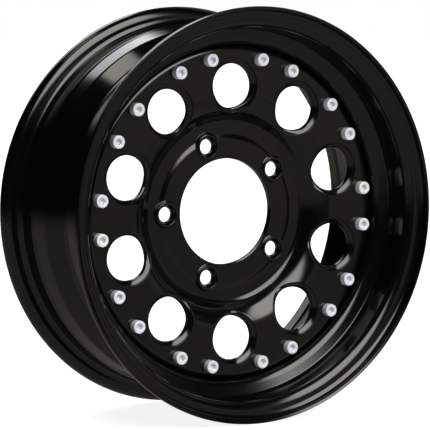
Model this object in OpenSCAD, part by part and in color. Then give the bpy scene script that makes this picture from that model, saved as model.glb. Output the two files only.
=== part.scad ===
/* [Rim] */
// Bead seat diameter, measured where the seat meets the flange
seat_d = 380.2; // [370:1:395]
// Width between the two flanges
rim_w = 139.7; // [127:0.1:160]
// Height of each flange above the bead seat
flange_h = 17.3; // [15:0.1:20]
// Width of each rolled flange, outwards from its upright wall
flange_b = 12.8; // [11:0.1:15]
// Radius of the rolled flange on the tyre side
flange_r = 9.5; // [8:0.5:10.5]
// Thickness of the rim sheet
rim_t = 3; // [2.5:0.1:3.5]
// Slope of each bead seat in degrees
seat_slope = 5; // [4:0.5:6]
// Width of each bead seat, from the flange to the start of the hump
seat_w = 18; // [16:0.5:20]
// Height of the safety hump inboard of each seat
hump_h = 1.1; // [0.6:0.1:1.5]
// Depth of the well below the bead seat
well_h = 17.3; // [16:0.1:19]
// Distance from the front edge of the rim to the front wall of the well
well_front = 44; // [42:0.5:47]
// Width of the well floor
well_w = 48; // [46:1:50]
// Length of the slope from the well up to the rear ledge
slope_w = 17.5; // [14:0.5:20]
// Depth of that ledge below the bead seat
ledge_h = 5.1; // [4:0.1:7]
// Diameter of the valve hole
valve_d = 11.5; // [11.3:0.1:12]

/* [Disc] */
// Offset of the mounting face from the middle of the rim, towards the front
offset = 8; // [5:0.5:12]
// Thickness of the pressed disc
disc_t = 5; // [4:0.25:6]
// Diameter of the hub bore
bore_d = 108; // [100:1:112]
// Radius of the raised face round the hub bore
pad_r = 76.5; // [74:0.5:80]
// Height of that raised face
pad_h = 1.6; // [0.8:0.1:2.5]
// Radius at which the dished wall leaves the hub face
dish_r = 92.5; // [90:0.5:96]
// Depth of the dish, from the outer face back to the hub face
dish_h = 17.6; // [15:0.2:20]
// Steepest angle of the dished wall in degrees
dish_angle = 52; // [45:1:56]
// Radius at the foot of the dished wall
dish_foot = 7; // [6:1:9]
// Radius of the soft bend from the dished wall into the outer face
dish_bend = 28; // [22:1:30]
// Radius of the rolled edge of the disc
edge_bend = 6.5; // [6:0.25:8]
// Length of the rolled edge that lies in the well
edge_len = 22; // [20:1:24]

/* [Windows] */
// Number of round windows
windows = 10; // [8:2:10]
// Distance from the foot of the dished wall to a window's clear opening
window_in = 13.2; // [12:0.1:16]
// Distance from a window's clear opening to the circle of screws
window_out = 6.5; // [6:0.1:9]
// Width of the turned-in lip round a window
lip_w = 4.6; // [4:0.1:5.5]
// How far the lip reaches behind the disc
lip_back = 3; // [2:0.25:4]

/* [Wheel studs] */
// Number of stud holes
studs = 5; // [4:1:6]
// Diameter of the circle of stud holes
stud_circle = 139.7; // [138:0.1:141]
// Diameter of a stud hole
stud_hole_d = 15; // [14:0.1:15.5]
// Diameter of the raised boss round a stud hole
boss_d = 30; // [28:0.5:31]
// Height of that boss
boss_h = 2.2; // [1.5:0.1:3]
// Diameter of the mouth of the conical nut seat
nut_seat_d = 20.6; // [19:0.1:22]

/* [Ring screws] */
// Distance from the edge of the disc to the circle of screws
screw_edge = 12.95; // [12.8:0.05:14]
// Half the angle between the two screws of a pair, in degrees
pair_angle = 7; // [6:0.25:8]
// Diameter of the screw thread
screw_d = 8; // [6:1:8]
// Length of the screw under its head
screw_len = 16; // [14:1:20]
// Diameter of the cylindrical head
head_d = 13; // [10:0.5:13]
// Height of the head
head_h = 8; // [6:0.5:8]
// Width of the hexagon socket across its flats
socket_af = 6; // [5:1:6]
// Depth of the socket
socket_depth = 4; // [3:0.5:5]
// Clearance between a screw and its hole, on the diameter
screw_play = 0.8; // [0.4:0.1:1]
// Width of the nut across its flats
nut_af = 13; // [10:0.5:13]
// Height of the nut
nut_h = 6.5; // [5:0.5:7]

/* [Hidden] */
$fn = 96;
mm_step = 9;
small_gap = 0.05;
bevel = 0.6;
weld_count = 8;
weld_span = 24;
weld_leg = 4;
lip_flat = 0.4;
valve_in = 9;
lip_steps = 28;

screws = 2 * windows;
pitch = 360 / windows;
screw_names = [for (i = [1 : screws]) str("cap_screw_", i < 10 ? "0" : "", i)];
nut_names = [for (i = [1 : screws]) str("hex_nut_", i < 10 ? "0" : "", i)];

seat_r = seat_d / 2;
flange_top = seat_r + flange_h;
y_front = offset - rim_w / 2 - flange_b;
y_rear = offset + rim_w / 2 + flange_b;
y_wall_front = y_front + flange_b;
y_wall_rear = y_rear - flange_b;
curl = asin(max(0, min(0.5, (flange_b - lip_flat) / flange_r - 1)));
curl_run = flange_r * (1 + sin(curl));
corner_r = flange_top - flange_r * (1 - cos(curl)) + curl_run * tan(curl);
lip_r = corner_r - flange_b * tan(curl);
seat_drop = seat_w * tan(seat_slope);
hump_w = 8;
well_r = seat_r - well_h;
well_inner_r = well_r - rim_t;
y_well = y_front + well_front;

hub_y = -disc_t;
face_y = hub_y - dish_h;
disc_r = well_inner_r - small_gap;
wall_run = dish_h / tan(dish_angle);
screw_circle = disc_r - screw_edge;
window_d = screw_circle - window_out - dish_r - window_in;
window_circle = dish_r + window_in + window_d / 2;
flat_r = screw_circle - max(head_d, nut_af / cos(30)) / 2 - 1;
soft_bend = min(dish_bend, (flat_r - dish_r - wall_run) / tan(dish_angle / 2));
screw_hole_r = (screw_d + screw_play) / 2;
weld_y = face_y + edge_len;

// Turns a flat vector by an angle
function turned(v, a) = [v[0] * cos(a) - v[1] * sin(a), v[0] * sin(a) + v[1] * cos(a)];
function unit(v) = v / norm(v);
function cross2(u, v) = u[0] * v[1] - u[1] * v[0];

// Points and normals along one bend of a formed sheet, each as [point, normal]
function bend(before, corner, after, radius) =
    let (u = unit(corner - before),
         v = unit(after - corner),
         side = cross2(u, v) > 0 ? 1 : -1,
         angle = acos(min(1, max(-1, u * v))),
         start = corner - u * radius * tan(angle / 2),
         left = [-u[1], u[0]],
         centre = start + left * side * radius,
         steps = max(1, round(angle / mm_step)))
    [for (k = [0 : steps])
        let (n = turned(left, side * angle * k / steps))
        [centre - n * side * radius, n]];

// A path of [x, y, bend radius] becomes a chain of points and normals
function chain(path) =
    let (last = len(path) - 1,
         flat = [for (p = path) [p[0], p[1]]],
         head = unit(flat[1] - flat[0]),
         tail = unit(flat[last] - flat[last - 1]))
    concat([[flat[0], [-head[1], head[0]]]],
           [for (i = [1 : last - 1])
               for (q = bend(flat[i - 1], flat[i], flat[i + 1], path[i][2])) q],
           [[flat[last], [-tail[1], tail[0]]]]);

// Outline of a sheet: the path on one side, and the same path moved by the thickness on the other
function sheet(path, thickness) =
    let (c = chain(path), n = len(c))
    concat([for (q = c) q[0]],
           [for (i = [n - 1 : -1 : 0]) c[i][0] + c[i][1] * thickness]);

// Spins an outline, drawn as [radius, place along the axle], about the axle
module spun() {
    rotate([-90, 0, 0]) rotate_extrude($fn = 180) children();
}

// Tyre side of the rim, from the front edge to the rear edge
rim_path = [
    [lip_r, y_front, 0],
    [corner_r, y_wall_front, flange_r],
    [seat_r, y_wall_front, 6.5],
    [seat_r - seat_drop, y_wall_front + seat_w, 5],
    [seat_r - seat_drop + hump_h, y_wall_front + seat_w + hump_w / 2, 5],
    [seat_r - seat_drop - hump_h, y_well, 5],
    [well_r, y_well + 3.5, 6],
    [well_r, y_well + well_w, 8],
    [seat_r - ledge_h, y_well + well_w + slope_w, 8],
    [seat_r - seat_drop - hump_h / 3, y_wall_rear - seat_w - hump_w, 5],
    [seat_r - seat_drop + hump_h, y_wall_rear - seat_w - hump_w / 2, 5],
    [seat_r - seat_drop, y_wall_rear - seat_w, 5],
    [seat_r, y_wall_rear, 6.5],
    [corner_r, y_wall_rear, flange_r],
    [lip_r, y_rear, 0]
];

module rim() {
    color("#16171a")
    difference() {
        spun() polygon(sheet(rim_path, rim_t));
        // The valve hole goes through the well floor at the bottom, behind the disc's edge and its welds
        translate([0, y_well + well_w - valve_in, -well_r - 5])
            cylinder(d = valve_d, h = rim_t + 10);
    }
}

// Front of the disc, from the hub bore to the rolled edge
disc_path = [
    [bore_d / 2, hub_y - pad_h, 0],
    [pad_r - 1, hub_y - pad_h, 2],
    [pad_r + 1, hub_y, 2],
    [dish_r, hub_y, dish_foot],
    [dish_r + wall_run, face_y, soft_bend],
    [disc_r, face_y, edge_bend],
    [disc_r, face_y + edge_len, 0]
];

// Back of the disc: level behind the hub, one sheet thick everywhere else
disc_outline =
    let (c = chain(disc_path),
         back = [for (q = c) if (q[0][0] > pad_r + 4) q[0] + q[1] * disc_t],
         n = len(back))
    concat([for (q = c) q[0]],
           [for (i = [n - 1 : -1 : 0]) back[i]],
           [[bore_d / 2, 0]]);

// Place of the disc's front along the axle at a given radius
function rise(r) =
    let (a = dish_angle,
         end = dish_r + wall_run + soft_bend * tan(a / 2),
         turn = end - soft_bend * sin(a))
    r >= end ? face_y
    : r >= turn ? face_y + soft_bend - sqrt(soft_bend * soft_bend - pow(end - r, 2))
    : face_y + soft_bend * (1 - cos(a)) + (turn - r) * tan(a);

// Section of a window's turned-in lip: [distance outside the clear opening, depth behind the disc's front]
lip_section = [
    [lip_w + 1.2, 1.6],
    [lip_w - 1, 1.5],
    [lip_w * 0.45, 2.6],
    [lip_w * 0.12, 4.4],
    [0, 6.2],
    [0, disc_t + lip_back],
    [2.4, disc_t + lip_back],
    [lip_w + 1.2, disc_t - 1.2]
];

// The lip of the window that lies on the X axis, following the disc's front all the way round
module window_lip() {
    n = len(lip_section);
    points = [for (k = [0 : lip_steps - 1]) for (s = lip_section)
        let (a = 360 * k / lip_steps,
             reach = window_d / 2 + s[0],
             x = window_circle + reach * cos(a),
             z = reach * sin(a))
        [x, rise(norm([x, z])) + s[1], z]];
    faces = [for (k = [0 : lip_steps - 1]) for (j = [0 : n - 1])
        let (k2 = (k + 1) % lip_steps, j2 = (j + 1) % n)
        for (f = [[k * n + j, k2 * n + j2, k2 * n + j], [k * n + j, k * n + j2, k2 * n + j2]]) f];
    polyhedron(points, faces);
}

// A raised boss round a stud hole, drawn about the axle direction at the origin
module stud_boss() {
    front = hub_y - pad_h;
    rotate([-90, 0, 0]) translate([0, 0, front - boss_h])
        cylinder(d1 = boss_d - 2 * boss_h, d2 = boss_d, h = boss_h + pad_h);
}

// Conical seat for a wheel nut and the hole behind it
module stud_hole() {
    front = hub_y - pad_h - boss_h;
    cone = (nut_seat_d - stud_hole_d) / 2 / tan(30);
    rotate([-90, 0, 0]) {
        translate([0, 0, front - 1])
            cylinder(d = stud_hole_d, h = -front + 2);
        translate([0, 0, front])
            cylinder(d1 = nut_seat_d, d2 = stud_hole_d, h = cone);
    }
}

// Puts its child at each stud, the first straight to the left
module at_studs() {
    for (i = [0 : studs - 1])
        rotate([0, 180 + i * 360 / studs, 0]) translate([stud_circle / 2, 0, 0]) children();
}

// Puts its child at one ring screw, counted round from the pair on the X axis
module at_screw(i) {
    pair = floor(i / 2);
    side = i % 2 == 0 ? -1 : 1;
    rotate([0, -(pair * pitch + side * pair_angle), 0]) translate([screw_circle, 0, 0]) children();
}

module disc() {
    color("#191a1d") {
        difference() {
            union() {
                spun() polygon(disc_outline);
                at_studs() stud_boss();
            }
            at_studs() stud_hole();
            for (i = [0 : windows - 1])
                rotate([0, (i + 0.5) * pitch, 0]) translate([window_circle, 0, 0]) rotate([-90, 0, 0])
                    translate([0, 0, face_y - 5]) cylinder(d = window_d + 2 * lip_w, h = dish_h + 20);
            for (i = [0 : screws - 1])
                at_screw(i) rotate([-90, 0, 0]) translate([0, 0, face_y - 5])
                    cylinder(r = screw_hole_r, h = disc_t + 10);
        }
        for (i = [0 : windows - 1])
            rotate([0, (i + 0.5) * pitch, 0]) window_lip();
    }
}

// Stitch welds in the corner between the disc's rolled edge and the well
module disc_welds() {
    color("#202124")
    for (i = [0 : weld_count - 1])
        rotate([0, (i + 0.5) * 360 / weld_count, 0]) rotate([-90, -weld_span / 2, 0])
            rotate_extrude(angle = weld_span)
                polygon([[disc_r - weld_leg, weld_y], [well_inner_r, weld_y],
                         [well_inner_r, weld_y + weld_leg]]);
}

// Cap screw standing on its seat at the origin, head towards the front
module cap_screw() {
    difference() {
        rotate([-90, 0, 0]) rotate_extrude()
            polygon([[0, -head_h], [head_d / 2 - bevel, -head_h], [head_d / 2, bevel - head_h],
                     [head_d / 2, 0], [screw_d / 2, 0], [screw_d / 2, screw_len - bevel],
                     [screw_d / 2 - bevel, screw_len], [0, screw_len]]);
        rotate([-90, 0, 0]) translate([0, 0, -head_h - 1])
            cylinder(d = socket_af / cos(30), h = socket_depth + 1, $fn = 6);
    }
}

// Hexagon nut with both faces bevelled at the corners
module hex_nut() {
    corner = nut_af / cos(30);
    difference() {
        intersection() {
            rotate([-90, 0, 0]) cylinder(d = corner, h = nut_h, $fn = 6);
            rotate([-90, 0, 0]) rotate_extrude()
                polygon([[0, 0], [nut_af / 2, 0], [corner / 2, bevel], [corner / 2, nut_h - bevel],
                         [nut_af / 2, nut_h], [0, nut_h]]);
        }
        rotate([-90, 0, 0]) translate([0, 0, -1]) cylinder(d = screw_d + 2 * small_gap, h = nut_h + 2);
    }
}

rim();
disc();
disc_welds();
for (i = [0 : screws - 1]) {
    color("#d9dbe0") at_screw(i) translate([0, face_y, 0]) cap_screw();
    color("#b9bcc2") at_screw(i) translate([0, face_y + disc_t, 0]) hex_nut();
}
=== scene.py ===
# %% [markdown]
# # A steel off-road wheel in gloss black
# The wheel is two steel pressings welded together: a rolled rim and a dished disc.
# Twenty cap screws stand in pairs round the disc, with nuts behind it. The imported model
# is the frame. Every piece below is drawn in its axes, with the axle along Y and the
# outer side towards -Y, and stands for one of its nodes. The wheel's sizes are in
# millimetres, and its meshes, the floor and the camera are in metres.

# %% Load the frame
import bisect
import math
import bpy
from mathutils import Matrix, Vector
from mathutils.geometry import delaunay_2d_cdt


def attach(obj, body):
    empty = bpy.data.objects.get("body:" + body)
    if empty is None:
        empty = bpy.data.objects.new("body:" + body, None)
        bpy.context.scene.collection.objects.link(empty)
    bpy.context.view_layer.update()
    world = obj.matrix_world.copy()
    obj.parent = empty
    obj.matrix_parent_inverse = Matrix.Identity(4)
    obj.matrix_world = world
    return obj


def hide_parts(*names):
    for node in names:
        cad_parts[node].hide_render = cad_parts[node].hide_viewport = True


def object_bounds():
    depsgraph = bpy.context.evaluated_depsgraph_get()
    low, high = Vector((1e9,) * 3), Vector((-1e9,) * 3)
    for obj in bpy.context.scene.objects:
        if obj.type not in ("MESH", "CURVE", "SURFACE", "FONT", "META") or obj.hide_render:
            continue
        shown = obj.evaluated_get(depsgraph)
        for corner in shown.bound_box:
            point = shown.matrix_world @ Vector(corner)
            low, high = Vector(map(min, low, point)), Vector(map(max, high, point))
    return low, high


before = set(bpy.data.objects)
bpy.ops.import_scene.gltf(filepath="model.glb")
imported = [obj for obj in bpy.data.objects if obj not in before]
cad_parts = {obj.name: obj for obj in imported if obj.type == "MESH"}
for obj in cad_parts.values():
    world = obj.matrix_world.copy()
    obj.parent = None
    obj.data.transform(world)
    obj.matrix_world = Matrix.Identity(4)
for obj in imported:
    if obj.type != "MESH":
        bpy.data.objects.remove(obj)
cad_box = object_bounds()
MM = 0.001
print("the frame has", len(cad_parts), "nodes")

# %% [markdown]
# A sheet part is easiest to draw as a bent line, as it is on a sheet-metal drawing.
# Each corner of the line has a bend radius. A Bevel modifier could round the corners of
# a plain line too, but here every point also gets the direction that the surface faces.
# Gloss paint shows the smallest error in that direction, so it isn't left to Blender.

# %% A bent line with its normals
def bent_line(corners, step=6.0):
    """Points (r, y, normal r, normal y) of a line with corners (r, y, bend radius)

    The normals point to the line's left. A bend has a point for each step of degrees.
    """
    places = [Vector(corner[:2]) for corner in corners]
    first = (places[1] - places[0]).normalized()
    line = [(*places[0], -first.y, first.x)]
    for i in range(1, len(places) - 1):
        before = (places[i] - places[i - 1]).normalized()
        after = (places[i + 1] - places[i]).normalized()
        side = 1 if before.cross(after) > 0 else -1
        angle = math.acos(max(-1, min(1, before.dot(after))))
        radius = corners[i][2]
        left = Vector((-before.y, before.x))
        centre = places[i] - before * radius * math.tan(angle / 2) + left * side * radius
        count = max(2, round(math.degrees(angle) / step))
        for k in range(count + 1):
            a = side * angle * k / count
            normal = Vector((left.x * math.cos(a) - left.y * math.sin(a),
                             left.x * math.sin(a) + left.y * math.cos(a)))
            line.append((*(centre - normal * side * radius), *normal))
    last = (places[-1] - places[-2]).normalized()
    line.append((*places[-1], -last.y, last.x))
    return line


sample_line = bent_line([(0, 0, 0), (10, 0, 5), (10, 10, 0)])
print("a right angle with a 5 mm bend has", len(sample_line), "points")

# %% [markdown]
# The sheet's other side is the same line moved by the sheet's thickness. The cut ends
# are dressed round, because paint doesn't hold on a sharp edge. The outline goes along
# one side, round the end, back along the other side and round the start.

# %% The outline of a sheet
CUT_EDGE = 0.3


def rounded_end(tip, normal, along, thickness, edge, count=4):
    """The end of a sheet whose line stops at tip, with both corners rounded"""
    inner = tip - along * edge
    corners = ((inner + normal * edge, -normal, along),
               (inner + normal * (thickness - edge), along, normal))
    points = []
    for centre, start, turn in corners:
        for k in range(count + 1):
            a = math.pi / 2 * k / count
            out = start * math.cos(a) + turn * math.sin(a)
            points.append((*(centre + out * edge), *out))
    return points


def sheet_outline(line, thickness, edge=CUT_EDGE):
    """A closed outline round a sheet, with normals that point out of it"""
    near = [(r, y, -nr, -ny) for r, y, nr, ny in line[1:-1]]
    far = [(r + nr * thickness, y + ny * thickness, nr, ny) for r, y, nr, ny in line[1:-1]]
    head, head_normal = Vector(line[0][:2]), Vector(line[0][2:])
    tail, tail_normal = Vector(line[-1][:2]), Vector(line[-1][2:])
    backward = Vector((-head_normal.y, head_normal.x))
    forward = Vector((tail_normal.y, -tail_normal.x))
    start = rounded_end(head, head_normal, backward, thickness, edge)
    end = rounded_end(tail, tail_normal, forward, thickness, edge)
    return near + end + far[::-1] + start[::-1]


sample_outline = sheet_outline(sample_line, 1)
print("a sheet bent along it has an outline of", len(sample_outline), "points")

# %% [markdown]
# A mesh is a list of points and a list of faces that name them. Blender works out
# normals from the faces. The pressings replace them by custom normals, and the small
# parts keep them, with an angle over which an edge stays sharp.

# %% Meshes and objects
def mesh_of(name, verts, faces, sharp_from=None):
    """A smooth mesh from points in mm, with sharp edges over an angle in degrees if one is given"""
    mesh = bpy.data.meshes.new(name)
    mesh.from_pydata([(x * MM, y * MM, z * MM) for x, y, z in verts], [], faces)
    mesh.polygons.foreach_set("use_smooth", [True] * len(mesh.polygons))
    if sharp_from is not None:
        mesh.set_sharp_from_angle(angle=math.radians(sharp_from))
    mesh.update()
    return mesh


def linked(name, data):
    """A new object in the scene"""
    obj = bpy.data.objects.new(name, data)
    bpy.context.scene.collection.objects.link(obj)
    return obj


def pressing(name, verts, faces, normals, body="root"):
    """An object with a normal of its own at each point, which rides on a body of the frame"""
    mesh = mesh_of(name, verts, faces)
    mesh.normals_split_custom_set_from_vertices([Vector(n).normalized() for n in normals])
    obj = linked(name, mesh)
    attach(obj, body)
    return obj


print("a size of 1 becomes", MM, "m in a mesh")

# %% [markdown]
# Most of this wheel is turned, rolled or round, so its meshes are rings of points about
# the Y axis with faces between them. A Screw modifier on a profile would give the same
# shape, but it makes its own normals. Rings can also change their radius on the way
# round, which gives hexagons and threads.

# %% Rings
def spun(outline, count):
    """Points, faces and normals of a closed outline (r, y, nr, ny) spun round the Y axis"""
    verts, normals, faces = [], [], []
    n = len(outline)
    for j in range(count):
        c, s = math.cos(2 * math.pi * j / count), math.sin(2 * math.pi * j / count)
        verts += [(r * c, y, r * s) for r, y, _, _ in outline]
        normals += [(nr * c, ny, nr * s) for _, _, nr, ny in outline]
    for j in range(count):
        a, b = j * n, (j + 1) % count * n
        for i in range(n):
            k = (i + 1) % n
            faces.append((a + i, a + k, b + k, b + i))
    return verts, faces, normals


def ring_of(count, height, radius):
    """One ring round the Y axis: height and radius are numbers or functions of the angle"""
    ring = []
    for j in range(count):
        a = 2 * math.pi * j / count
        r = radius(a) if callable(radius) else radius
        y = height(a) if callable(height) else height
        ring.append((r * math.cos(a), y, r * math.sin(a)))
    return ring


def ring_faces(rings, count, first=0, capped=True):
    """Faces of a stack of rings, capped at both ends or joined from the last to the first"""
    faces = []
    for i in range(rings - 1 if capped else rings):
        a = first + i * count
        b = first + (i + 1) % rings * count
        faces += [(a + j, b + j, b + (j + 1) % count, a + (j + 1) % count) for j in range(count)]
    if capped:
        last = first + (rings - 1) * count
        faces += [tuple(range(first, first + count)), tuple(range(last, last + count))[::-1]]
    return faces


print("the bent sheet spun in 12 steps has", len(spun(sample_outline, 12)[1]), "faces")

# %% [markdown]
# The rim is rolled from 3 mm strip. From the front it has a curled flange, a bead seat
# with a slope of 5 degrees, a small hump that keeps the tyre's bead in place, and a
# well that the tyre drops into when it is fitted. All of these are corners of one line,
# from the front flange to the rear one. Y is counted from the face that meets the hub.

# %% The rim's sizes
Y_FRONT = -74.65
Y_REAR = 90.65
RIM_T = 3.0
SEAT_R = 190.1  # where the bead seat meets the flange
SEAT_W = 18.0
SEAT_SLOPE = math.radians(5)
SEAT_BEND = 6.5
FLANGE_H = 17.3
FLANGE_W = 12.8
FLANGE_R = 9.5  # the curl's bend
CURL_W = 12.4  # the width that its bend takes up
CURL = math.asin(CURL_W / FLANGE_R - 1)  # how far the curl turns past a right angle
HUMP_W = 8.0
HUMP_H = 1.1
HUMP_BEND = 5.0
WELL_DEPTH = 17.3
WELL_R = SEAT_R - WELL_DEPTH
WELL_W = 48.0
WELL_FROM_FRONT = 44.0
WELL_RUN = 3.5  # width of the well's steep front wall
WELL_BEND = 6.0
SLOPE_W = 17.5  # width of the slope from the well up to the rear ledge
SLOPE_BEND = 8.0
LEDGE_H = 5.1  # how far the rear ledge starts below the seat
print("the rim is", round(Y_REAR - Y_FRONT, 2), "mm wide and", round(2 * (SEAT_R + FLANGE_H), 1), "mm across")

# %% [markdown]
# The flange's curl turns past a right angle, and its bend doesn't reach as far out as
# its corner. So the corner is put where the finished bend just touches the flange's
# radius. The rear half of the line has the same flange, seat and hump as the front.

# %% The rim's line
corner_r = SEAT_R + FLANGE_H - FLANGE_R * (1 - math.cos(CURL)) + CURL_W * math.tan(CURL)
curl_end_r = corner_r - FLANGE_W * math.tan(CURL)
wall_front = Y_FRONT + FLANGE_W
wall_rear = Y_REAR - FLANGE_W
well_front = Y_FRONT + WELL_FROM_FRONT
well_rear = well_front + WELL_W
seat_in = SEAT_R - SEAT_W * math.tan(SEAT_SLOPE)
rim_line = bent_line([
    (curl_end_r, Y_FRONT, 0),
    (corner_r, wall_front, FLANGE_R),
    (SEAT_R, wall_front, SEAT_BEND),
    (seat_in, wall_front + SEAT_W, HUMP_BEND),
    (seat_in + HUMP_H, wall_front + SEAT_W + HUMP_W / 2, HUMP_BEND),
    (seat_in - HUMP_H, well_front, HUMP_BEND),
    (WELL_R, well_front + WELL_RUN, WELL_BEND),
    (WELL_R, well_rear, SLOPE_BEND),
    (SEAT_R - LEDGE_H, well_rear + SLOPE_W, SLOPE_BEND),
    (seat_in - HUMP_H / 3, wall_rear - SEAT_W - HUMP_W, HUMP_BEND),
    (seat_in + HUMP_H, wall_rear - SEAT_W - HUMP_W / 2, HUMP_BEND),
    (seat_in, wall_rear - SEAT_W, HUMP_BEND),
    (SEAT_R, wall_rear, SEAT_BEND),
    (corner_r, wall_rear, FLANGE_R),
    (curl_end_r, Y_REAR, 0),
])
print("the rim's line has", len(rim_line), "points")

# %% [markdown]
# The valve hole is punched through the well. A boolean would cut it too, but it would
# leave long thin faces that spoil the paint's reflections. Here a block of the grid is
# left out on both sides of the strip. Faces join the block's border to the hole's
# mouth, and more faces join the two mouths through the strip.

# %% The valve hole's place
RIM_STEPS = 240
VALVE_R = 5.75
VALVE_TO_SLOPE = 9.0
VALVE_Y = well_rear - VALVE_TO_SLOPE
VALVE_EDGE = 0.3
VALVE_FLARE = 0.3  # how far the wall's normals lean out of the hole
BLOCK_HALF = 6.3
BLOCK_STEPS = 2  # steps round the rim to each side of the hole
VALVE_STEP = round(RIM_STEPS * 0.75)  # three quarters of a turn from +X is the bottom
block_rows = [VALVE_Y + BLOCK_HALF * k / 4 for k in range(-4, 5)]
block_left, block_right = VALVE_STEP - BLOCK_STEPS, VALVE_STEP + BLOCK_STEPS


def with_block_rows(bare):
    """The outline with extra points for the block's rows, and their numbers on each side of the strip"""
    outline, sides = [], []
    for p, q in zip(bare, bare[1:] + bare[:1]):
        outline.append(p)
        runs_straight = abs(p[0] - q[0]) < 0.01
        if runs_straight and min(p[1], q[1]) < block_rows[0] and max(p[1], q[1]) > block_rows[-1]:
            order = block_rows if q[1] > p[1] else block_rows[::-1]
            sides.append({y: len(outline) + k for k, y in enumerate(order)})
            outline += [(p[0], y, p[2], p[3]) for y in order]
    return outline, sides


def block_border():
    """Steps and rows along the border of the block, once round"""
    left = [(block_left, y) for y in block_rows]
    rear = [(j, block_rows[-1]) for j in range(block_left + 1, block_right)]
    right = [(block_right, y) for y in block_rows[::-1]]
    front = [(j, block_rows[0]) for j in range(block_right - 1, block_left, -1)]
    return left + rear + right + front


print("the block that makes room for the valve hole has", len(block_border()), "points round it")

# %% [markdown]
# The rim itself is the spun outline with its block replaced. Its front flange, which
# shows the longest reflections, has 240 steps round it, so no facet can be seen.

# %% The rim
def rim_mesh():
    """Points, faces and normals of the rim, with the valve hole at the bottom"""
    outline, sides = with_block_rows(sheet_outline(rim_line, RIM_T))
    verts, faces, normals = spun(outline, RIM_STEPS)
    n = len(outline)
    block = range(block_left, block_right)
    border = block_border()
    walls = []
    for numbers in sides:
        inside = set(numbers.values())
        faces = [f for f in faces
                 if not (f[0] // n in block and f[0] % n in inside and f[1] % n in inside)]
        edge = [j * n + numbers[y] for j, y in border]
        mouth, wall = [], []
        for (j, y), i in zip(border, edge):
            turn = 2 * math.pi * (j - VALVE_STEP) / RIM_STEPS
            away = Vector((turn * WELL_R, y - VALVE_Y)).normalized()
            radius = math.hypot(verts[i][0], verts[i][2])
            outwards = 1 if radius > WELL_R - RIM_T / 2 else -1
            mouth.append(len(verts))
            wall.append(len(verts) + 1)
            for reach, level in ((VALVE_R + VALVE_EDGE, radius), (VALVE_R, radius - VALVE_EDGE * outwards)):
                x = away.x * reach
                verts.append((x, VALVE_Y + away.y * reach, -math.sqrt(level ** 2 - x ** 2)))
            normals += [normals[i], (-away.x, -away.y, -VALVE_FLARE * outwards)]
        walls.append(wall)
        forward = numbers[block_rows[1]] > numbers[block_rows[0]]
        for k in range(len(border)):
            for a, b in ((edge, mouth), (mouth, wall)):
                quad = (a[k - 1], a[k], b[k], b[k - 1])
                faces.append(quad if forward else quad[::-1])
    outer, inner = walls
    faces += [(outer[k - 1], outer[k], inner[k], inner[k - 1]) for k in range(len(border))]
    return verts, faces, normals


rim = pressing("rolled_rim", *rim_mesh())
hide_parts("rim")
print("rolled_rim:", len(rim.data.polygons), "faces")

# %% [markdown]
# The disc is pressed from 5 mm plate. From the bore outwards it has a raised pad round
# the studs, a wall that comes forward to a flat outer ring, and a rolled edge that sits
# in the well. The plate's back is this line moved by the thickness, except behind the
# pad, where it stays flat so that it can lie on the hub.

# %% The disc's line
DISC_T = 5.0
BORE_R = 54.0
BORE_ROUND = 0.4
HUB_Y = -5.0  # the front of the plate where its back lies on the hub
PAD_R = 76.5
PAD_H = 1.6
PAD_RUN = 2.2  # half the width of the step at the pad's edge
PAD_BEND = 5.0
PAD_Y = HUB_Y - PAD_H
DISH_R = 92.5
DISH_H = 17.6
DISH_ANGLE = math.radians(52)
DISH_FOOT = 7.0
DISH_BEND = 28.0
FACE_Y = HUB_Y - DISH_H
EDGE_BEND = 6.5
EDGE_LEN = 22.0
EDGE_Y = FACE_Y + EDGE_LEN
DISC_R = WELL_R - RIM_T - 0.05  # a hair of room to press the disc into the well
HUB_BACK_R = PAD_R + 6  # the back is flat as far as here
disc_line = bent_line([
    (BORE_R, PAD_Y, 0),
    (PAD_R - PAD_RUN, PAD_Y, PAD_BEND),
    (PAD_R + PAD_RUN, HUB_Y, PAD_BEND),
    (DISH_R, HUB_Y, DISH_FOOT),
    (DISH_R + DISH_H / math.tan(DISH_ANGLE), FACE_Y, DISH_BEND),
    (DISC_R, FACE_Y, EDGE_BEND),
    (DISC_R, EDGE_Y, 0),
], step=3.0)
back_line = [(BORE_R, 0, 0, 1), (HUB_BACK_R, 0, 0, 1)] + [
    (r + nr * DISC_T, y + ny * DISC_T, nr, ny) for r, y, nr, ny in disc_line if r > HUB_BACK_R]
print("the disc's line has", len(disc_line), "points, and its back", len(back_line))

# %% [markdown]
# As far as the rolled edge, each side of the plate is a height that depends on the
# radius alone. So a point at any radius can be laid on either side by looking up the
# line there, and everything that is cut into the plate follows its dish.

# %% Heights on the plate
EDGE_R = DISC_R - EDGE_BEND


def height_line(line):
    """The part of a line inside the rolled edge, with only points where the radius grows"""
    points = [line[0]]
    for p in line[1:]:
        if p[0] <= EDGE_R + 0.01 and p[0] > points[-1][0] + 1e-4:
            points.append(p)
    return points


def level_at(line, r):
    """Height and normal (y, nr, ny) of a height line at one radius"""
    i = max(1, min(len(line) - 1, bisect.bisect_left([p[0] for p in line], r)))
    a, b = line[i - 1], line[i]
    share = max(0, min(1, (r - a[0]) / (b[0] - a[0])))
    return [a[k] + (b[k] - a[k]) * share for k in (1, 2, 3)]


front_heights = height_line(disc_line[:-1])
back_heights = height_line(back_line)
for r in (BORE_R, DISH_R, EDGE_R):
    print("at radius", round(r, 2), "the front lies at y", round(level_at(front_heights, r)[0], 2))

# %% [markdown]
# Each kind of hole is drawn once, as a section: rings that shrink towards the hole, go
# down through the plate and come up behind it. An entry gives a ring's radius, its
# height, what the height is measured from, and a share. Heights from the front or the
# back follow that side's dish. A fixed height is a level of its own, and a share under
# one mixes it with the front.
#
# The ten windows have a lip: their edge is turned in, which stiffens the thin plate.
# The lip's round shoulder is what catches the light as a bright crescent.

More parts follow.
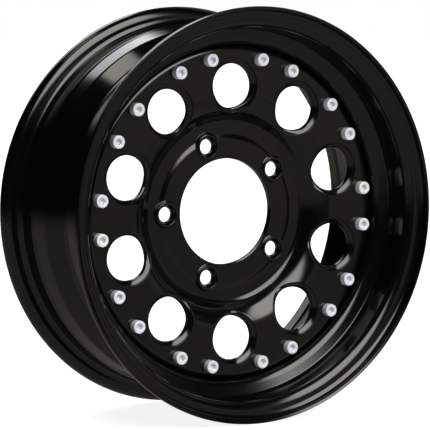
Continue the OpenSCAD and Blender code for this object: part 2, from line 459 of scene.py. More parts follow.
# %% The windows' section
WINDOW_CIRCLE = 128.0
WINDOW_R = 22.3
LIP_W = 4.6
LIP_BACK = 3.0  # how far the lip reaches behind the plate
LIP_MARGIN = 1.7


def bare_bend(corners, step):
    """The points of a bent line without their normals"""
    return [p[:2] for p in bent_line(corners, step)]


def window_section():
    """From the dished front down the lip, and up its back"""
    foot_r = WINDOW_R + LIP_W
    depth = DISC_T + LIP_BACK
    lip = bare_bend([
        (foot_r + LIP_MARGIN, 0, 0),  # on the dished front
        (foot_r + 0.5, 0, 0.35),  # the lip's foot
        (foot_r, 1.2, 0.3),  # a short step down
        (WINDOW_R + 2.6, 2.15, 9),  # the broad shoulder
        (WINDOW_R + 0.5, 4.0, 1.5),
        (WINDOW_R, 6.2, 1.5),  # the clear opening
        (WINDOW_R, depth, 0.5),  # the lip's cut edge
        (WINDOW_R + 2.4, depth, 0.5),
        (WINDOW_R + 2.6, depth - 1.2, 0),  # behind the lip
    ], step=8)
    behind = [(WINDOW_R + 3.2, 0.5), (WINDOW_R + 4.2, 0.1), (foot_r + LIP_MARGIN, 0)]
    return [(r, h, "front", 1) for r, h in lip] + [(r, h, "back", 1) for r, h in behind]


print("a window's section has", len(window_section()), "rings")

# %% [markdown]
# Each of the five stud holes stands on a raised boss. Its mouth is a cone of 60 degrees
# that centres the wheel nut. The screw holes are plain drilled holes.

# %% The sections of the stud holes and screw holes
STUD_CIRCLE = 69.85
STUD_R = 7.5
NUT_CONE_R = 10.3
NUT_CONE = math.radians(60)
BOSS_R = 15.0
BOSS_H = 2.2
BOSS_Y = PAD_Y - BOSS_H
FLANK_W = 3  # the boss's flank lies within this of its foot
BACK_ROUND = 0.4
BACK_MIDDLE = 0.12  # the middle of that rounding, from both of its sides
SCREW_CIRCLE = 156.8
SCREW_HOLE_R = 4.4
HOLE_ROUND = 0.3
HOLE_MARGIN = 1.0


def back_edge(radius):
    """The rounded edge of a hole on the flat back"""
    return [(radius, -BACK_ROUND), (radius + BACK_MIDDLE, -BACK_MIDDLE), (radius + BACK_ROUND, 0)]


def stud_section():
    """Up the boss, across its top, down the cone and through the plate"""
    cone_depth = (NUT_CONE_R - STUD_R) / math.tan(NUT_CONE / 2)
    boss = bare_bend([
        (BOSS_R, PAD_Y, 0),
        (BOSS_R - 0.7, PAD_Y, 0.5),
        (BOSS_R - 2.2, BOSS_Y, 0.7),
        (NUT_CONE_R, BOSS_Y, 0.35),
        (STUD_R, BOSS_Y + cone_depth, 0.5),
        (STUD_R, -0.01, 0),
    ], step=12)
    rings = [(BOSS_R, 0, "front", 1)]
    for r, y in boss[1:-1]:
        on_flank = r > BOSS_R - FLANK_W
        share = min(1, max(0, (PAD_Y - y) / BOSS_H)) if on_flank else 1
        rings.append((r, y, "fixed", share))
    rings += [(r, y, "fixed", 1) for r, y in back_edge(STUD_R)]
    return rings + [(BOSS_R, 0, "back", 1)]


def screw_section():
    """Straight through the plate, with both edges broken"""
    front = [(HOLE_MARGIN, 0), (HOLE_ROUND, 0), (0, HOLE_ROUND), (0, DISC_T - HOLE_ROUND)]
    back = [(HOLE_ROUND, 0), (HOLE_MARGIN, 0)]
    return ([(SCREW_HOLE_R + r, h, "front", 1) for r, h in front]
            + [(SCREW_HOLE_R + r, h, "back", 1) for r, h in back])


print("a stud hole's section has", len(stud_section()), "rings, a screw hole's", len(screw_section()))

# %% [markdown]
# The holes are a pattern round the axle: ten windows, a pair of screws between each two
# of them, and five studs in line with every second pair.

# %% The pattern of holes
WINDOWS = 10
WINDOW_TURN = 360 / WINDOWS
PAIR_ANGLE = 7  # from the middle of a pair to each of its screws
STUDS = 5
STUD_TURN = 360 / STUDS


def on_circle(radius, degrees):
    """x and z of a point on a circle round the axle, from +X towards +Z"""
    a = math.radians(degrees)
    return radius * math.cos(a), radius * math.sin(a)


def screw_degrees(k):
    """Where screw k stands, counted from the pair on the X axis"""
    return WINDOW_TURN * (k // 2) + (-PAIR_ANGLE if k % 2 == 0 else PAIR_ANGLE)


holes = []
for k in range(WINDOWS):
    holes.append((*on_circle(WINDOW_CIRCLE, WINDOW_TURN * (k + 0.5)), window_section(), 72))
    for screw in (2 * k, 2 * k + 1):
        holes.append((*on_circle(SCREW_CIRCLE, screw_degrees(screw)), screw_section(), 24))
for k in range(STUDS):
    holes.append((*on_circle(STUD_CIRCLE, STUD_TURN * (k + 0.5)), stud_section(), 48))
print("the disc has", len(holes), "holes besides its bore")

# %% [markdown]
# Between the holes the plate is one smooth skin. It could be a grid with booleans, but
# they spoil the normals beside each hole, and a subdivision surface doesn't keep a hole
# round. Here a Delaunay mesh fills the area: rows of points, spaced closely where the
# plate bends and widely where it is flat, and a ring of points round each hole. The
# same flat mesh then serves the front and the back.

# %% Rows of points
SKIN_STEP = 3.2  # between rows, and between the points of a row
BEND_STEP = 1.25  # between rows where the dish bends
PAD_STEP = 0.5  # between rows on the step at the pad's edge
PAD_REACH = 4.2  # the rows stay that close as far as this from the pad's edge
BENT_FROM, BENT_TO = 84, 122
FIRST_ROW = 2.5  # from the bore to the first row
LAST_ROW = 1.2  # the least room between the last row and the rolled edge


def row_radii():
    """The radius of each row of points"""
    radii = []
    r = BORE_R + FIRST_ROW
    while r < EDGE_R - LAST_ROW:
        radii.append(r)
        if abs(r - PAD_R) < PAD_REACH:
            r += PAD_STEP
        elif BENT_FROM < r < BENT_TO:
            r += BEND_STEP
        else:
            r += SKIN_STEP
    return radii


print("the skin has", len(row_radii()), "rows of points")

# %% [markdown]
# Every second row is shifted by half a step, so that the triangles between the rows
# come out even. Points that fall on a hole are left out, and so are the triangles that
# would fill it.

# %% The skin, laid out flat
RING_STEPS = 240
BORE_STEPS = 180
LEAST_POINTS = 120  # in a row
SKIN_MARGIN = 0.9  # between a hole's ring and the points of the rows


def circle(cx, cz, radius, count, shift=0):
    """Points (x, z) round a circle, shifted by a share of a step"""
    angles = [2 * math.pi * (j + shift) / count for j in range(count)]
    return [(cx + radius * math.cos(a), cz + radius * math.sin(a)) for a in angles]


def clear_of_holes(p):
    """Whether a flat point lies outside the ring of every hole"""
    return all((p.x - cx) ** 2 + (p.y - cz) ** 2 > (profile[0][0] + SKIN_MARGIN) ** 2
               for cx, cz, profile, _ in holes)


def flat_skin():
    """Flat points, triangles, and the numbers of the points on each border ring"""
    borders = [(0, 0, EDGE_R, RING_STEPS), (0, 0, BORE_R + BORE_ROUND, BORE_STEPS)]
    borders += [(cx, cz, profile[0][0], count) for cx, cz, profile, count in holes]
    points, edges, rings = [], [], []
    for border in borders:
        first, count = len(points), border[3]
        points += [Vector(p) for p in circle(*border)]
        edges += [(first + j, first + (j + 1) % count) for j in range(count)]
        rings.append(range(first, first + count))
    for i, r in enumerate(row_radii()):
        count = max(LEAST_POINTS, round(2 * math.pi * r / SKIN_STEP))
        row = [Vector(p) for p in circle(0, 0, r, count, shift=i % 2 / 2)]
        points += [p for p in row if clear_of_holes(p)]
    # 0 asks for triangles over the whole convex hull, and the last number is a tolerance
    verts, _, triangles, origin, _, _ = delaunay_2d_cdt(points, edges, [], 0, 1e-5)
    number = {old: new for new, olds in enumerate(origin) for old in olds}
    rings = [[number[i] for i in ring] for ring in rings]
    hole_of = {i: k for k, ring in enumerate(rings[1:]) for i in ring}
    # a triangle with all its corners on one ring fills a hole, so it is left out
    kept = [tuple(t) for t in triangles if len({hole_of.get(i, -1 - i) for i in t}) > 1]
    return verts, kept, rings


flat_points, flat_triangles, border_rings = flat_skin()
print("the flat skin has", len(flat_points), "points and", len(flat_triangles), "triangles")

# %% [markdown]
# The flat skin is laid on the front's heights, and once more, turned over, on the
# back's. Its normals come from the line as well, so the dish mirrors the room as
# smoothly as a pressing does.

# %% The front and the back of the disc
disc_verts, disc_normals, disc_faces = [], [], []


def add_side(heights, out):
    """Adds the skin on a height line, facing -Y or +Y, and returns the number of its first point"""
    first = len(disc_verts)
    for p in flat_points:
        y, nr, ny = level_at(heights, p.length)
        d = p.normalized()
        disc_verts.append((p.x, y, p.y))
        disc_normals.append((out * nr * d.x, out * ny, out * nr * d.y))
    for a, b, c in flat_triangles:
        disc_faces.append((first + a, first + b, first + c) if out < 0 else (first + a, first + c, first + b))
    return first


add_side(front_heights, -1)
back_first = add_side(back_heights, 1)
print("both sides of the disc have", len(disc_faces), "triangles")

# %% [markdown]
# The walls join the two sides. Each is a loft: a ring of the front, the rings of a
# section, and the same ring of the back. A point's normal stands across the way round
# the ring and the way through the plate. A nearer neighbour counts for more in it,
# because it tells more about the slope at the point.

# %% The walls of the holes
LEAST_LENGTH = 1e-6  # keeps two points in one place from dividing by zero


def disc_point(i):
    """Point i of the disc as a vector"""
    return Vector(disc_verts[i])


def loft(ring, levels, hole=True):
    """Joins a border ring of the front to the same ring of the back through rings of new points"""
    n = len(ring)
    facing = 1 if hole else -1
    stack = [ring]
    for points in levels:
        first = len(disc_verts)
        disc_verts.extend(points)
        disc_normals.extend([(0, 0, 0)] * n)
        stack.append(range(first, first + n))
    stack.append([back_first + i for i in ring])
    for above, here, below in zip(stack, stack[1:], stack[2:]):
        for j in range(n):
            before = disc_point(here[j]) - disc_point(above[j])
            after = disc_point(below[j]) - disc_point(here[j])
            through = (before.normalized() / max(before.length, LEAST_LENGTH)
                       + after.normalized() / max(after.length, LEAST_LENGTH))
            across = disc_point(here[(j + 1) % n]) - disc_point(here[j - 1])
            disc_normals[here[j]] = tuple(across.cross(through) * facing)
    for upper, lower in zip(stack, stack[1:]):
        for j in range(n):
            k = (j + 1) % n
            quad = (upper[j], lower[j], lower[k], upper[k])
            disc_faces.append(quad[::-1] if hole else quad)


def hole_levels(cx, cz, profile, count):
    """The rings of one hole between the front and the back"""
    levels = []
    for radius, height, kind, share in profile[1:-1]:
        heights = back_heights if kind == "back" else front_heights
        points = []
        for x, z in circle(cx, cz, radius, count):
            base = level_at(heights, math.hypot(x, z))[0]
            y = height * share + base * (1 - share) if kind == "fixed" else base + height
            points.append((x, y, z))
        levels.append(points)
    return levels


for hole, ring in zip(holes, border_rings[2:]):
    loft(ring, hole_levels(*hole))
print("with the walls of its holes the disc has", len(disc_faces), "faces")

# %% [markdown]
# The bore and the rolled edge are lofts too, with rings round the axle. The bore's
# front edge is rounded by 0.4 mm. The rolled edge ends in a cut tip inside the well.

# %% The bore and the rolled edge
TIP_EDGE = 0.6  # rounding of the cut tip
quarter = [math.pi / 2 * k / 5 for k in range(6)]  # a quarter turn in five steps
bore = [(BORE_R + BORE_ROUND * (1 - math.sin(t)), PAD_Y + BORE_ROUND * (1 - math.cos(t)))
        for t in quarter[1:]]
bore += back_edge(BORE_R)
loft(border_rings[1], [ring_of(BORE_STEPS, y, r) for r, y in bore])

tip = rounded_end(Vector((DISC_R, EDGE_Y)), Vector((-1, 0)), Vector((0, 1)), DISC_T, TIP_EDGE)
edge_front = [p for p in disc_line[:-1] if p[0] > EDGE_R + 0.05]
edge_back = [p for p in back_line if p[0] > EDGE_R + 0.05 and p[1] < EDGE_Y - 1]
edge = edge_front + tip + edge_back[::-1]
loft(border_rings[0], [ring_of(RING_STEPS, p[1], p[0]) for p in edge], hole=False)

disc = pressing("pressed_disc", disc_verts, disc_faces, disc_normals)
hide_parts("disc")
print("pressed_disc:", len(disc.data.polygons), "faces")

# %% [markdown]
# A cap screw has a turned head with a hexagon socket. The head is built in rings from
# the socket's bottom, out over the top and down to the shank, and the rings inside the
# socket follow a hexagon. This gives the rounded mouth that a boolean would leave sharp.

# %% The cap screw's head
SCREW_STEPS = 48
SCREW_R = 4.0
SCREW_LEN = 16.0
HEAD_R = 6.5
HEAD_H = 8.0
HEAD_ROUND = 0.6
SOCKET_AF = 6.0
SOCKET_DEPTH = 4.0
MOUTH_R = 3.6
CENTRE_R = 0.3  # the smallest ring, closed by one face


def hexagon(across, a):
    """Distance from the middle of a hexagon to its side in the direction a"""
    return across / 2 / math.cos((a + math.pi / 6) % (math.pi / 3) - math.pi / 6)


def socket(a):
    """Radius of the socket's wall in the direction a"""
    return hexagon(SOCKET_AF, a)


def head_plan():
    """Height and radius of each ring of the head, with y 0 under it"""
    top = -HEAD_H
    floor = top + SOCKET_DEPTH
    plan = [
        (floor + 1.0, CENTRE_R),  # the drill's point under the socket
        (floor, lambda a: socket(a) * 0.96),
        (floor - 0.25, socket),
        (top + 0.5, socket),  # the socket's wall
        (top + 0.3, lambda a: max(socket(a), MOUTH_R - 0.25)),
        (top + 0.08, MOUTH_R),  # the round mouth
        (top, MOUTH_R + 0.2),
        (top, 5.0),  # the flat top
    ]
    plan += [(top + HEAD_ROUND * (1 - math.cos(t)), HEAD_R - HEAD_ROUND * (1 - math.sin(t)))
             for t in quarter]
    return plan + [
        (top + 1.2, HEAD_R),
        (-0.5, HEAD_R),  # the head's side
        (-0.15, HEAD_R - 0.1),
        (0, HEAD_R - 0.35),  # its bearing face
        (0, SCREW_R),
    ]


print("the head has", len(head_plan()), "rings")

# %% [markdown]
# The thread is rolled, M8 with a pitch of 1.25 mm. It is a helix: a ring's radius
# depends on how far along its turn each point is, and eight rings make one turn. One
# mesh serves all twenty screws, so a change to it changes them all.

# %% The cap screw's thread
PITCH = 1.25
THREAD_H = 0.55
THREAD_FROM = 5.0  # under the head
THREAD_END = 0.9  # from the last turn to the screw's end
PER_TURN = 8


def thread_ring(k):
    """Ring k of the thread"""
    def radius(a):
        phase = (k / PER_TURN - a / (2 * math.pi)) % 1
        return SCREW_R - THREAD_H * abs(2 * phase - 1)
    return ring_of(SCREW_STEPS, THREAD_FROM + k * PITCH / PER_TURN, radius)


def cap_screw_mesh():
    """A screw with its head's bearing face at y 0 and its shank towards +Y"""
    turns = int((SCREW_LEN - THREAD_END - THREAD_FROM) / PITCH)
    shank = [(THREAD_FROM - 0.6, SCREW_R), (THREAD_FROM - 0.4, SCREW_R - 0.05)]
    point = [(SCREW_LEN - 0.7, SCREW_R - 0.5), (SCREW_LEN, SCREW_R - 0.95), (SCREW_LEN, CENTRE_R)]
    rings = [ring_of(SCREW_STEPS, y, r) for y, r in head_plan() + shank]
    rings += [thread_ring(k) for k in range(turns * PER_TURN + 1)]
    rings += [ring_of(SCREW_STEPS, y, r) for y, r in point]
    verts = [p for ring in rings for p in ring]
    return mesh_of("cap_screw", verts, ring_faces(len(rings), SCREW_STEPS), sharp_from=32)


screw_mesh = cap_screw_mesh()
print("cap_screw:", len(screw_mesh.polygons), "faces each")

# %% [markdown]
# Twenty objects share the screw's mesh. Each is turned further than the one before,
# because screws don't all stop at the same angle when they are tightened.

# %% Place the screws
SCREWS = 2 * WINDOWS
SOCKET_TURN = 0.7  # radians from one screw to the next


def at_screw(k, y):
    """The place of screw k at height y, in metres"""
    x, z = on_circle(SCREW_CIRCLE, screw_degrees(k))
    return Vector((x, 0, z)) * MM + Vector((0, y * MM, 0))


for k in range(SCREWS):
    obj = linked(f"zinc_cap_screw_{k + 1:02d}", screw_mesh)
    obj.location = at_screw(k, FACE_Y)
    obj.rotation_euler = (0, SOCKET_TURN * k, 0)
    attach(obj, "root")
    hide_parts(f"cap_screw_{k + 1:02d}")
first_gap = (at_screw(1, FACE_Y) - at_screw(0, FACE_Y)).length
print(SCREWS, "screws, and the two of a pair stand", round(first_gap / MM, 1), "mm apart")

# %% [markdown]
# A hexagon nut is chamfered by a cone, which leaves a curved edge at the top of each
# flat. A bevel modifier can't do that. Here the ring at the hexagon's edge simply drops
# further where the corners reach out. The rings go through the bore back to the first.

# %% The nuts
NUT_STEPS = 72
NUT_AF = 13.0
NUT_H = 6.5
NUT_CHAMFER = math.radians(28)
NUT_BORE_R = SCREW_R + 0.05
BORE_CHAMFER = 0.5
NUT_FACE_R = NUT_AF / 2 * 0.97


def nut_side(a):
    """Radius of the nut's side in the direction a"""
    return hexagon(NUT_AF, a)


def chamfer(a):
    """How far the cone has dropped where it meets the side"""
    return (nut_side(a) - NUT_FACE_R) * math.tan(NUT_CHAMFER)


def hex_nut_mesh():
    """A nut with its bearing face at y 0"""
    plan = [
        (BORE_CHAMFER, NUT_BORE_R),
        (0, NUT_BORE_R + BORE_CHAMFER),
        (0, NUT_FACE_R),
        (chamfer, nut_side),
        (lambda a: NUT_H - chamfer(a), nut_side),
        (NUT_H, NUT_FACE_R),
        (NUT_H, NUT_BORE_R + BORE_CHAMFER),
        (NUT_H - BORE_CHAMFER, NUT_BORE_R),
    ]
    verts = [p for y, r in plan for p in ring_of(NUT_STEPS, y, r)]
    return mesh_of("hex_nut", verts, ring_faces(len(plan), NUT_STEPS, capped=False), sharp_from=24)


nut_mesh = hex_nut_mesh()
for k in range(SCREWS):
    obj = linked(f"zinc_nut_{k + 1:02d}", nut_mesh)
    obj.location = at_screw(k, FACE_Y + DISC_T)
    obj.rotation_euler = (0, -math.radians(screw_degrees(k)), 0)
    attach(obj, "root")
    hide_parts(f"hex_nut_{k + 1:02d}")
print("hex_nut:", len(nut_mesh.polygons), "faces each")

# %% [markdown]
# Eight stitch welds join the disc's rolled edge to the well, behind the disc. A welded
# bead has ripples a few millimetres apart and rounded ends. It could be a tube along a
# curve, but in rings of its own the section can swell and shrink with each ripple.

# %% The stitch welds
WELDS = 8
WELD_LEG = 4.0
WELD_ARC = math.radians(24)
WELD_R = WELL_R - RIM_T
WELD_RINGS = 70  # about a millimetre apart
WELD_POINTS = 8
RIPPLE_RINGS = 5


def weld_ring(turn, size):
    """One section of a bead: a little fuller than a flat fillet, and the corner that it fills"""
    ring = []
    for k in range(WELD_POINTS + 1):
        b = math.pi / 2 * k / WELD_POINTS
        fullness = 0.78 + 0.22 * abs(math.cos(2 * b))
        r = WELD_R - size * math.cos(b) * fullness
        y = EDGE_Y + size * math.sin(b) * fullness
        ring.append((r * math.cos(turn), y, r * math.sin(turn)))
    return ring + [(WELD_R * math.cos(turn), EDGE_Y, WELD_R * math.sin(turn))]


def weld_mesh():
    """All eight beads in one mesh"""
    verts, faces = [], []
    for w in range(WELDS):
        middle = math.radians(360 / WELDS * (w + 0.5))
        first = len(verts)
        for i in range(WELD_RINGS + 1):
            t = i / WELD_RINGS
            taper = min(1, 14 * min(t, 1 - t) + 0.25)
            ripple = 0.93 + 0.05 * math.cos(2 * math.pi * i / RIPPLE_RINGS)
            verts += weld_ring(middle + WELD_ARC * (t - 0.5), WELD_LEG * taper * ripple)
        faces += ring_faces(WELD_RINGS + 1, WELD_POINTS + 2, first)
    return mesh_of("stitch_welds", verts, faces, sharp_from=50)


welds = linked("stitch_welds", weld_mesh())
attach(welds, "root")
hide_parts("disc_welds")
print("stitch_welds:", len(welds.data.polygons), "faces")

# %% [markdown]
# Colours are written as the hex values that a picture shows, and one function turns
# them to the linear values that the renderer works with. Another adds a node to a
# material, sets its values and joins its links.

# %% Helpers for materials
def colour(hex_text):
    """A linear colour with alpha from an sRGB hex value"""
    parts = [int(hex_text[i:i + 2], 16) / 255 for i in (1, 3, 5)]
    return [c / 12.92 if c <= 0.04045 else ((c + 0.055) / 1.055) ** 2.4 for c in parts] + [1]


def add(tree, kind, inputs=(), **settings):
    """Adds a node: settings are attributes or input values, inputs are (socket, output or value)"""
    node = tree.nodes.new(kind)
    for key, value in settings.items():
        if hasattr(node, key):
            setattr(node, key, value)
        else:
            node.inputs[key.replace("_", " ")].default_value = value
    for socket, source in inputs:
        if isinstance(source, bpy.types.NodeSocket):
            tree.links.new(source, node.inputs[socket])
        else:
            node.inputs[socket].default_value = source
    return node


def material(name):
    """A new material with its tree and its shader"""
    mat = bpy.data.materials.new(name)
    mat.use_nodes = True
    tree = mat.node_tree
    return mat, tree, tree.nodes["Principled BSDF"]


print("the grey #808080 is", round(colour("#808080")[0], 3), "in linear light")

# %% [markdown]
# The wheel is finished in black baked enamel over a primer. Enamel is a smooth hard
# gloss with an index of about 1.5, so it is nearly black where it faces a dark room and
# shows each lamp as a clear shape. A sprayed coat levels out into waves about 6 mm long
# and a few microns high, called orange peel, which make the edges of reflections soft.
# It could be an even black with one roughness, but then the reflections would look
# printed. The bump's strength is a quarter, so 12 microns of distance act as about 3.

# %% Black enamel
PEEL_MM = 6.0
PEEL_HEIGHT_MM = 0.012
HAZE_MM = 45.0  # size of the patches that are a little more or less glossy


def black_enamel(name, base, roughness, peel_mm=PEEL_MM, peel_height_mm=PEEL_HEIGHT_MM):
    """Sprayed and baked gloss enamel"""
    mat, tree, shader = material(name)
    shader.inputs["Base Color"].default_value = colour(base)
    shader.inputs["IOR"].default_value = 1.5
    shader.inputs["Metallic"].default_value = 0.0
    place = add(tree, "ShaderNodeTexCoord").outputs["Object"]
    peel = add(tree, "ShaderNodeTexNoise", [("Vector", place)],
               Scale=1 / (peel_mm * MM), Detail=2.0)
    haze = add(tree, "ShaderNodeTexNoise", [("Vector", place)],
               Scale=1 / (HAZE_MM * MM), Detail=3.0)
    spread = add(tree, "ShaderNodeMapRange", [("Value", haze.outputs["Fac"])],
                 To_Min=roughness * 0.8, To_Max=roughness * 1.25)
    bump = add(tree, "ShaderNodeBump", [("Height", peel.outputs["Fac"])],
               Strength=0.25, Distance=peel_height_mm * MM)
    tree.links.new(spread.outputs["Result"], shader.inputs["Roughness"])
    tree.links.new(bump.outputs["Normal"], shader.inputs["Normal"])
    return mat


rim.data.materials.append(black_enamel("black_baked_enamel_rim", "#050505", 0.12))
disc.data.materials.append(black_enamel("black_baked_enamel_disc", "#060606", 0.12))
welds.data.materials.append(
    black_enamel("black_enamel_over_weld", "#0a0a0a", 0.22, peel_mm=2.0, peel_height_mm=0.03))
print("enamel:", [obj.data.materials[0].name for obj in (rim, disc, welds)])

# %% [markdown]
# The screws and nuts are zinc plated in a bath. A clear film of passivation and sealer
# lies on the plating and scatters part of the light, so the screws look a satin silver
# grey and don't mirror the room. A full metal would turn black here, because the room
# is dark. Metallic is the share of the light that the metal itself sends back. The
# plating has a fine grain and, over a few millimetres, duller and brighter patches.

# %% Satin zinc plating
GRAIN_MM = 0.8  # coarser than real plating, so that it shows
PATCH_MM = 5.0


def satin_zinc(name, dull, bright, roughness):
    """Zinc plating under a clear film"""
    mat, tree, shader = material(name)
    shader.inputs["Metallic"].default_value = 0.35
    place = add(tree, "ShaderNodeTexCoord").outputs["Object"]
    grain = add(tree, "ShaderNodeTexNoise", [("Vector", place)],
                Scale=1 / (GRAIN_MM * MM), Detail=3.0).outputs["Fac"]
    patch = add(tree, "ShaderNodeTexNoise", [("Vector", place)],
                Scale=1 / (PATCH_MM * MM), Detail=1.0).outputs["Fac"]
    # inputs 6 and 7 of this node are its two colours, and output 2 is their mix
    tone = add(tree, "ShaderNodeMix", [("Factor", patch), (6, colour(dull)), (7, colour(bright))],
               data_type="RGBA")
    spread = add(tree, "ShaderNodeMapRange", [("Value", grain)],
                 To_Min=roughness * 0.85, To_Max=roughness * 1.15)
    bump = add(tree, "ShaderNodeBump", [("Height", grain)], Strength=0.3, Distance=0.02 * MM)
    tree.links.new(tone.outputs[2], shader.inputs["Base Color"])
    tree.links.new(spread.outputs["Result"], shader.inputs["Roughness"])
    tree.links.new(bump.outputs["Normal"], shader.inputs["Normal"])
    return mat


screw_mesh.materials.append(satin_zinc("satin_zinc_plated_screw", "#c8c8d2", "#dadae4", 0.5))
nut_mesh.materials.append(satin_zinc("satin_zinc_plated_nut", "#c4c4cb", "#d6d6dc", 0.55))
print("zinc:", screw_mesh.materials[0].name, "and", nut_mesh.materials[0].name)

# %% [markdown]
# The wheel stands on a plain matt white floor. Most of the floor's brightness is its
# own, as if it were lit from below, so the wheel's shadow stays faint. Gloss black
# shows only what it mirrors. So the floor is hidden from reflections, and what lies
# under the horizon is part of the room's light, where it can be a dim grey.

# %% Floor
FLOOR_HALF = 30.0  # metres
FLOOR_GAP = 0.0002  # metres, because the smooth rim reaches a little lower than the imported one
floor_z = cad_box[0][2] - FLOOR_GAP
floor_mesh = bpy.data.meshes.new("white_floor")
floor_corners = [(-1, -1), (1, -1), (1, 1), (-1, 1)]
floor_mesh.from_pydata([(x * FLOOR_HALF, y * FLOOR_HALF, floor_z) for x, y in floor_corners],
                       [], [(0, 1, 2, 3)])
floor = linked("white_floor", floor_mesh)
floor.visible_glossy = False
floor_mat, _, floor_shader = material("matt_white_floor")
floor_shader.inputs["Base Color"].default_value = colour("#b6b6b5")
floor_shader.inputs["Roughness"].default_value = 0.9
floor_shader.inputs["Emission Color"].default_value = colour("#ffffff")
floor_shader.inputs["Emission Strength"].default_value = 0.88
floor_mesh.materials.append(floor_mat)
print("the floor lies", round(-floor_z / MM, 2), "mm under the axle")

# %% [markdown]
# The studio is drawn in the world's shader. Area lamps would do, but a lamp's edge is
# always sharp in a mirror, and cloth in front of a lamp fades towards its sides. Each
# softbox here is a patch between four directions, and each of its sides has its own
# soft edge. A side is a plane through the wheel: the dot product with the plane's
# normal tells how far inside it a ray passes.

# %% Softboxes
world = bpy.data.worlds.new("studio")
bpy.context.scene.world = world
world.use_nodes = True
sky = world.node_tree
sky.nodes.clear()
ray = add(sky, "ShaderNodeTexCoord").outputs["Generated"]


def aim(azimuth, elevation):
    """A direction from the wheel, in degrees: azimuth 0 is the front and 90 the right"""
    a, e = math.radians(azimuth), math.radians(elevation)
    return Vector((math.cos(e) * math.sin(a), -math.cos(e) * math.cos(a), math.sin(e)))


def softbox(corners, softness, light):
    """A patch of light between corner directions, whose sides fade over a number of degrees"""
    middle = sum((aim(*corner) for corner in corners), Vector())
    mask = None
    for here, after, soft in zip(corners, corners[1:] + corners[:1], softness):
        inward = aim(*here).cross(aim(*after)).normalized()
        inward *= 1 if inward.dot(middle) > 0 else -1
        depth = add(sky, "ShaderNodeVectorMath", [(0, ray), (1, inward)], operation="DOT_PRODUCT")
        half = math.radians(soft) / 2
        side = add(sky, "ShaderNodeMapRange", [("Value", depth.outputs["Value"])],
                   interpolation_type="SMOOTHSTEP", From_Min=-half, From_Max=half).outputs["Result"]
        if mask is None:
            mask = side
        else:
            mask = add(sky, "ShaderNodeMath", [(0, mask), (1, side)], operation="MULTIPLY").outputs[0]
    return add(sky, "ShaderNodeVectorMath", [(0, light), ("Scale", mask)], operation="SCALE").outputs[0]


lights = [
    # a large warm softbox, high in front
    softbox([(-36, 30), (27, 9), (36, 64), (-36, 66)], (9, 5, 6, 15), (6.4, 6.3, 5.8)),
    # a cool one behind, and the fainter glow under it
    softbox([(155, 36), (-165, 36), (-165, 56), (155, 56)], (4, 4, 4, 4), (3.9, 3.85, 4.0)),
    softbox([(155, 18), (-165, 18), (-165, 40), (155, 40)], (10, 6, 6, 6), (1.2, 1.2, 1.25)),
    # a small one overhead
    softbox([(-135, 86), (-146, 79), (-93, 68), (-81, 70)], (3, 3, 3, 3), (5.7, 5.6, 4.9)),
    # what the room sends back: low in front on the right, above that, and from the right
    softbox([(20, -5), (57, -5), (57, 8), (20, 8)], (8, 4, 4, 4), (0.32, 0.3, 0.27)),
    softbox([(45, 5), (65, 5), (65, 20), (45, 20)], (8, 8, 8, 8), (0.15, 0.14, 0.13)),
    softbox([(75, -5), (140, -5), (140, 45), (75, 45)], (10, 12, 20, 12), (0.4, 0.39, 0.37)),
]
print("the studio has", len(lights), "patches of light")

# %% [markdown]
# Under the horizon the room is a dim warm grey, which comes up over about ten degrees
# and is weaker far on the right. The camera itself sees plain white all round, which a
# Light Path node allows: it tells a ray from the camera from a ray off a surface.

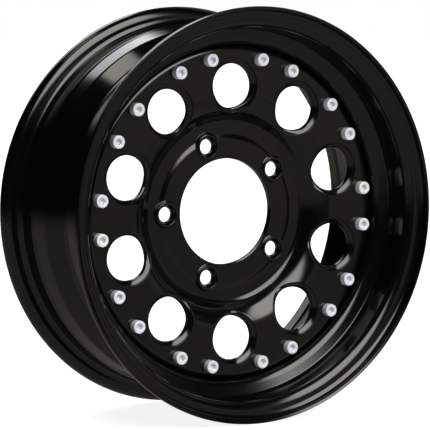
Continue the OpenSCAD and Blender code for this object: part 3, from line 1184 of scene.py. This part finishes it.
# %% The rest of the room
GROUND_LIGHT = (0.27, 0.26, 0.23)
GROUND_FROM, GROUND_FULL = -0.03, -0.21  # heights of a ray of length 1
DIM_FROM, DIM_FULL = 0.7, 1.0  # the same to the right
DIM_SHARE = 0.3
way = add(sky, "ShaderNodeSeparateXYZ", [("Vector", ray)])
under = add(sky, "ShaderNodeMapRange", [("Value", way.outputs["Z"])],
            interpolation_type="SMOOTHSTEP", From_Min=GROUND_FROM, From_Max=GROUND_FULL)
right = add(sky, "ShaderNodeMapRange", [("Value", way.outputs["X"])],
            interpolation_type="SMOOTHSTEP", From_Min=DIM_FROM, From_Max=DIM_FULL,
            To_Min=1.0, To_Max=DIM_SHARE)
ground = add(sky, "ShaderNodeMath", [(0, under.outputs[0]), (1, right.outputs[0])],
             operation="MULTIPLY")
total = add(sky, "ShaderNodeVectorMath", [(0, GROUND_LIGHT), ("Scale", ground.outputs[0])],
            operation="SCALE").outputs[0]
for light in lights:
    total = add(sky, "ShaderNodeVectorMath", [(0, total), (1, light)], operation="ADD").outputs[0]
seen = add(sky, "ShaderNodeLightPath").outputs["Is Camera Ray"]
room = add(sky, "ShaderNodeBackground", [("Color", total)]).outputs[0]
backdrop = add(sky, "ShaderNodeBackground", Color=colour("#ffffff")).outputs[0]
pick = add(sky, "ShaderNodeMixShader", [("Fac", seen), (1, room), (2, backdrop)])
add(sky, "ShaderNodeOutputWorld", [("Surface", pick.outputs[0])])
print("the world's shader has", len(sky.nodes), "nodes")

# %% [markdown]
# The camera is a long lens about two metres away, a little above the axle and some 30
# degrees to its left, as in the reference picture. A long lens keeps the near and the
# far flange nearly the same size.

# %% Camera
CAMERA_AT = Vector((-1.1548, -1.8498, 0.1987))
LOOK_AT = Vector((-0.0552, -0.0747, 0.0045))
LENS_MM = 180
SENSOR_MM = 36
camera_data = bpy.data.cameras.new("camera")
camera_data.lens = LENS_MM
camera_data.sensor_width = SENSOR_MM
camera_data.sensor_fit = "HORIZONTAL"
camera = linked("camera", camera_data)
camera.location = CAMERA_AT
view = LOOK_AT - CAMERA_AT
camera.rotation_euler = view.to_track_quat("-Z", "Y").to_euler()
bpy.context.scene.camera = camera
bpy.context.scene.view_settings.view_transform = "Standard"
print("the camera is", round(view.length, 2), "m away,",
      round(math.degrees(math.atan2(view.x, view.y))), "degrees to the left")

# %% [markdown]
# Last, the size of the imported model's box is printed.

# %% Write the sizes and end
print("the packed wheel is", [round((high - low) / MM, 1) for low, high in zip(*cad_box)], "mm")
